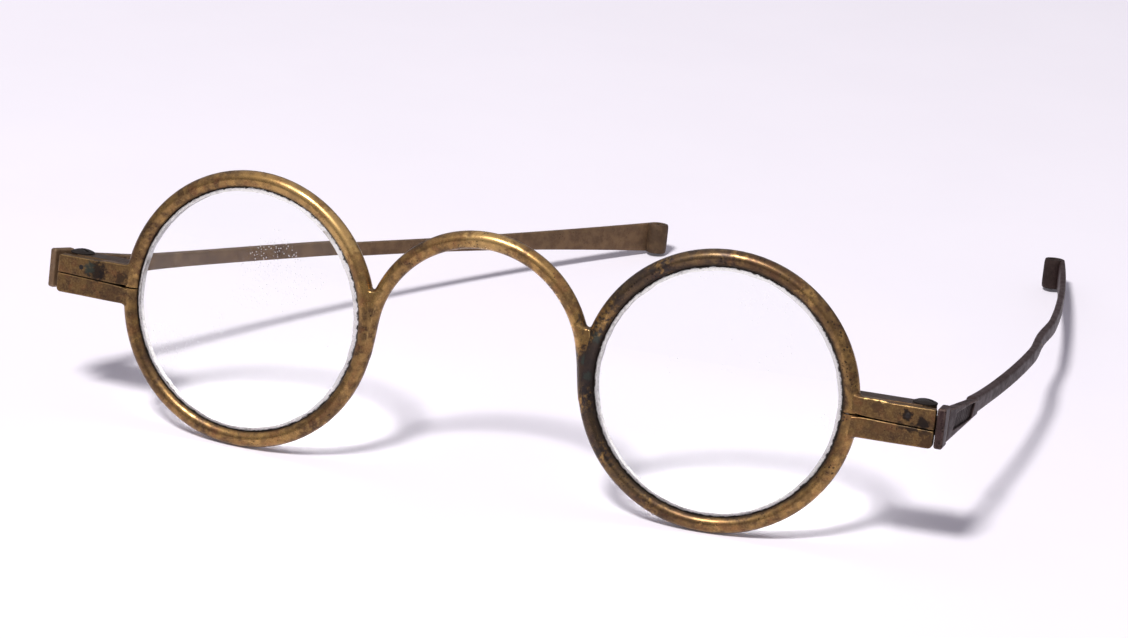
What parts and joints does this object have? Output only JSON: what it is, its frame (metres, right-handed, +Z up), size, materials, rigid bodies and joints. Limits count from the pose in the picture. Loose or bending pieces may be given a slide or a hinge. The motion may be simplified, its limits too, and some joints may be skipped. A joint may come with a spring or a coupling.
{
  "type": "spectacles",
  "caption": "Antique brass spectacles with round lenses, a C-shaped bridge wire, split rims and slender temples that fold inwards at screwed hinges.",
  "frame": {"origin": "on the table under the middle of the bounding box, with the spectacles standing open on the rims and the temple tips", "axes": "+X to the wearer's left, seen from in front towards the right; +Y backwards, from the lenses to the temple tips; +Z up from the table"},
  "size_m": [0.1218, 0.1132, 0.0352],
  "materials": {
    "rim_brass": "old drawn brass, brown patina, darker at the inner edge, worn bright on the arcs",
    "plate_brass": "old brass sheet with dark stains and bright worn edges",
    "joint_brass": "dark unpolished brass, dirty in the corners",
    "temple_brass": "dark mauve-brown patina, paler on the sides",
    "screw_steel": "dark oxidised steel",
    "clear_glass": "clear old glass, ground bevel, a little dust"
  },
  "bodies": {
    "front": {"rim_left": "rim_brass", "rim_right": "rim_brass", "lens_left": "clear_glass", "lens_right": "clear_glass", "bridge": "rim_brass", "upper_plate_left": "plate_brass", "upper_plate_right": "plate_brass", "lower_plate_left": "plate_brass", "lower_plate_right": "plate_brass", "upper_joint_left": "joint_brass", "upper_joint_right": "joint_brass", "lower_joint_left": "joint_brass", "lower_joint_right": "joint_brass", "rivet_left": "screw_steel", "rivet_right": "screw_steel", "hinge_screw_left": "screw_steel", "hinge_screw_right": "screw_steel"},
    "temple_left": {"temple_joint_left": "temple_brass", "temple_arm_left": "temple_brass"},
    "temple_right": {"temple_joint_right": "temple_brass", "temple_arm_right": "temple_brass"}
  },
  "joints": [
    {"name": "fold_left", "type": "hinge", "parent": "front", "child": "temple_left", "pos_m": [-0.05672, -0.0485, 0.01722], "axis": [0, -0.1736, -0.9848], "range_deg": [-25.5, 60]},
    {"name": "fold_right", "type": "hinge", "parent": "front", "child": "temple_right", "pos_m": [0.05694, -0.04859, 0.01671], "axis": [0, 0.1736, 0.9848], "range_deg": [0, 40]}
  ]
}
